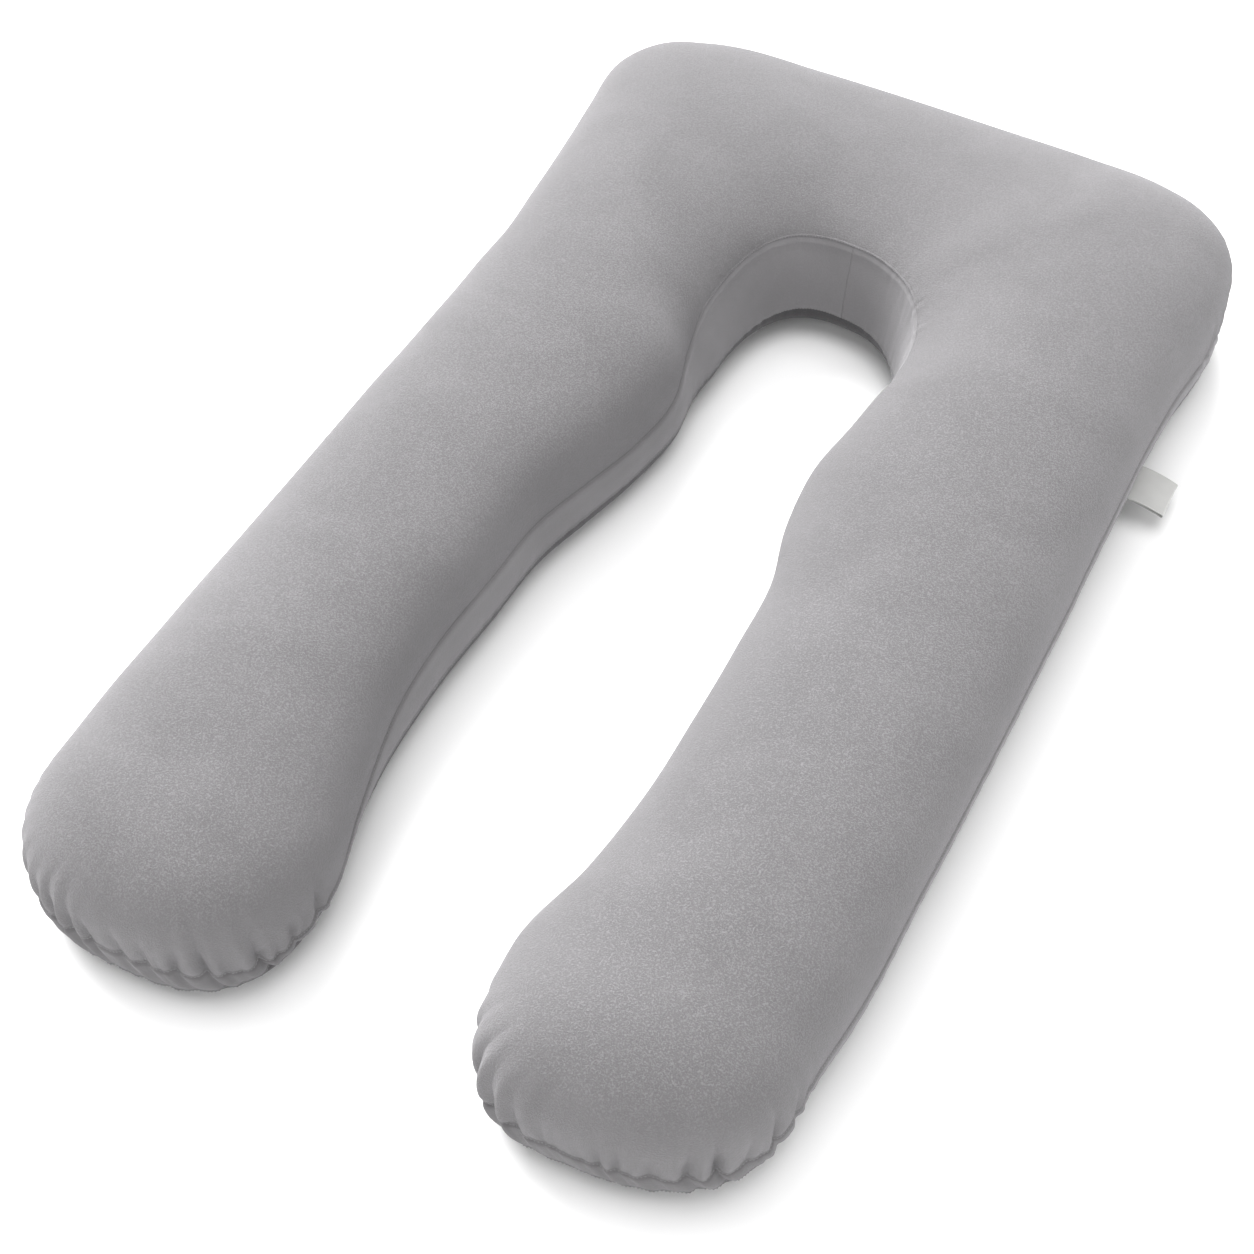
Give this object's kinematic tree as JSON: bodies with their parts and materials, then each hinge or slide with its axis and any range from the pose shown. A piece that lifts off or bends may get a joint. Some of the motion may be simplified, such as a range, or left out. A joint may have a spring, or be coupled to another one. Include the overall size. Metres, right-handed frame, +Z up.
{
  "type": "pregnancy pillow",
  "caption": "U-shaped filled body pillow with a squared head end, an arched gap between its legs and round gathered feet, lying flat.",
  "frame": {"origin": "on the surface that the pillow lies on, under the middle of the whole object's box in plan", "axes": "+Y along the pillow's length towards its closed head end, -Y towards the feet; +X across, towards the side that carries the label; +Z up out of the surface"},
  "size_m": [0.852, 1.4736, 0.1872],
  "materials": {
    "cover": "mid-grey short-pile plush with a faint squiggly nap",
    "ribbon": "white satin ribbon, bare"
  },
  "bodies": {
    "root": {"pillow": "cover", "care_label": "ribbon"}
  },
  "joints": []
}
